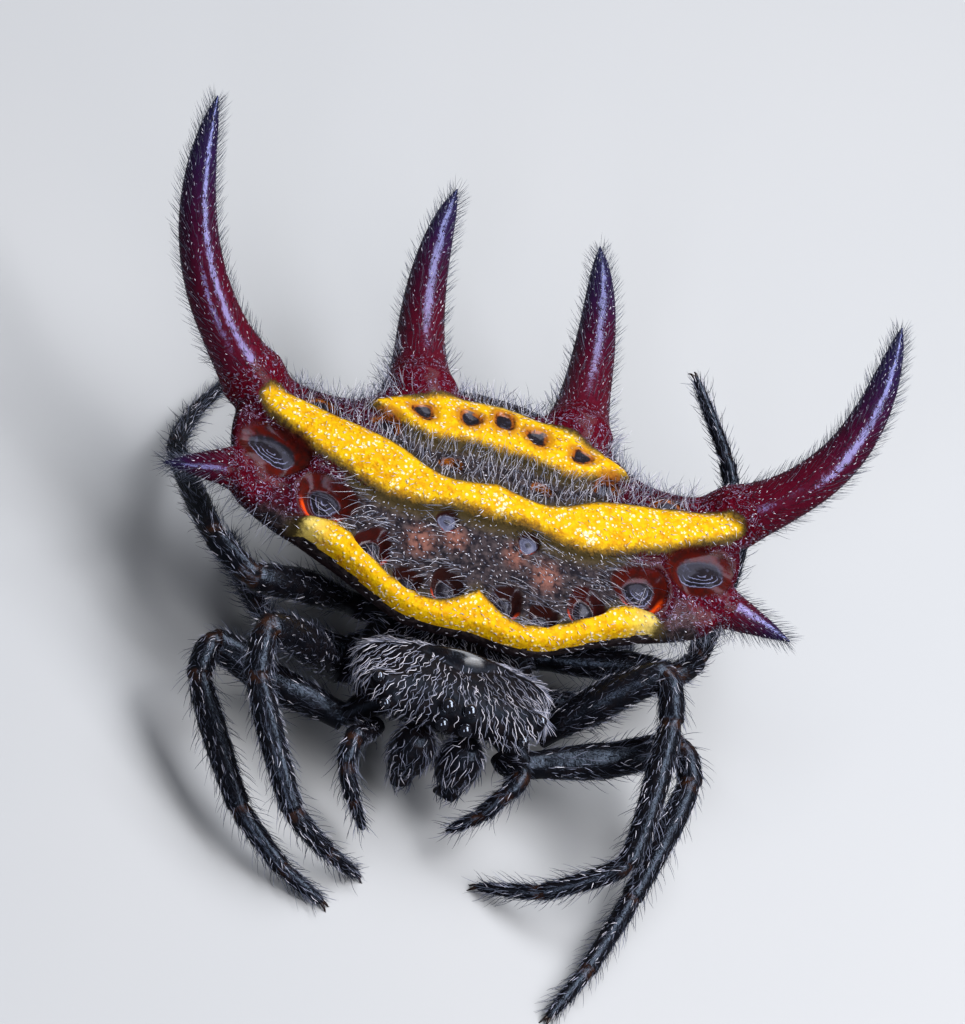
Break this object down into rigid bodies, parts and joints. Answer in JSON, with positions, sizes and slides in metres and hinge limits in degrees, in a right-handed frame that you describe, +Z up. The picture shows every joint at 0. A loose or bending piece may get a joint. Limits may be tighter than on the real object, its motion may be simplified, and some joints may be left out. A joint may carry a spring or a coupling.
{
  "type": "spiny orb weaver spider",
  "caption": "Still life-size model of a spiny orb weaver: wide flat abdomen with long curved horns and short spines, standing on its legs.",
  "frame": {"origin": "on the floor, under the middle of the outer box", "axes": "+Z up, -Y the way the head faces, +X the spider's left side"},
  "size_m": [0.0168, 0.0189, 0.0082],
  "materials": {
    "shield": "dark hairy skin with glossy yellow ridges",
    "horn": "glossy dark red shell turning blue-black at the tips",
    "cuticle": "black cuticle with pale bristles",
    "eye": "clear glossy black lens"
  },
  "bodies": {
    "root": {"abdomen": "shield", "chelicera_left": "cuticle", "chelicera_right": "cuticle", "eye_front_median_left": "eye", "eye_front_median_right": "eye", "eye_front_side_left": "eye", "eye_front_side_right": "eye", "eye_rear_median_left": "eye", "eye_rear_median_right": "eye", "eye_rear_side_left": "eye", "eye_rear_side_right": "eye", "front_spine_left": "horn", "front_spine_right": "horn", "horn_left": "horn", "horn_right": "horn", "leg_1_left_foot": "cuticle", "leg_1_left_shank": "cuticle", "leg_1_left_thigh": "cuticle", "leg_1_right_foot": "cuticle", "leg_1_right_shank": "cuticle", "leg_1_right_thigh": "cuticle", "leg_2_left_foot": "cuticle", "leg_2_left_shank": "cuticle", "leg_2_left_thigh": "cuticle", "leg_2_right_foot": "cuticle", "leg_2_right_shank": "cuticle", "leg_2_right_thigh": "cuticle", "leg_3_left_foot": "cuticle", "leg_3_left_shank": "cuticle", "leg_3_left_thigh": "cuticle", "leg_3_right_foot": "cuticle", "leg_3_right_shank": "cuticle", "leg_3_right_thigh": "cuticle", "leg_4_left_foot": "cuticle", "leg_4_left_shank": "cuticle", "leg_4_left_thigh": "cuticle", "leg_4_right_foot": "cuticle", "leg_4_right_shank": "cuticle", "leg_4_right_thigh": "cuticle", "palp_left": "cuticle", "palp_right": "cuticle", "pedicel": "cuticle", "prosoma": "cuticle", "rear_spine_left": "horn", "rear_spine_right": "horn", "spinnerets": "cuticle"}
  },
  "joints": []
}
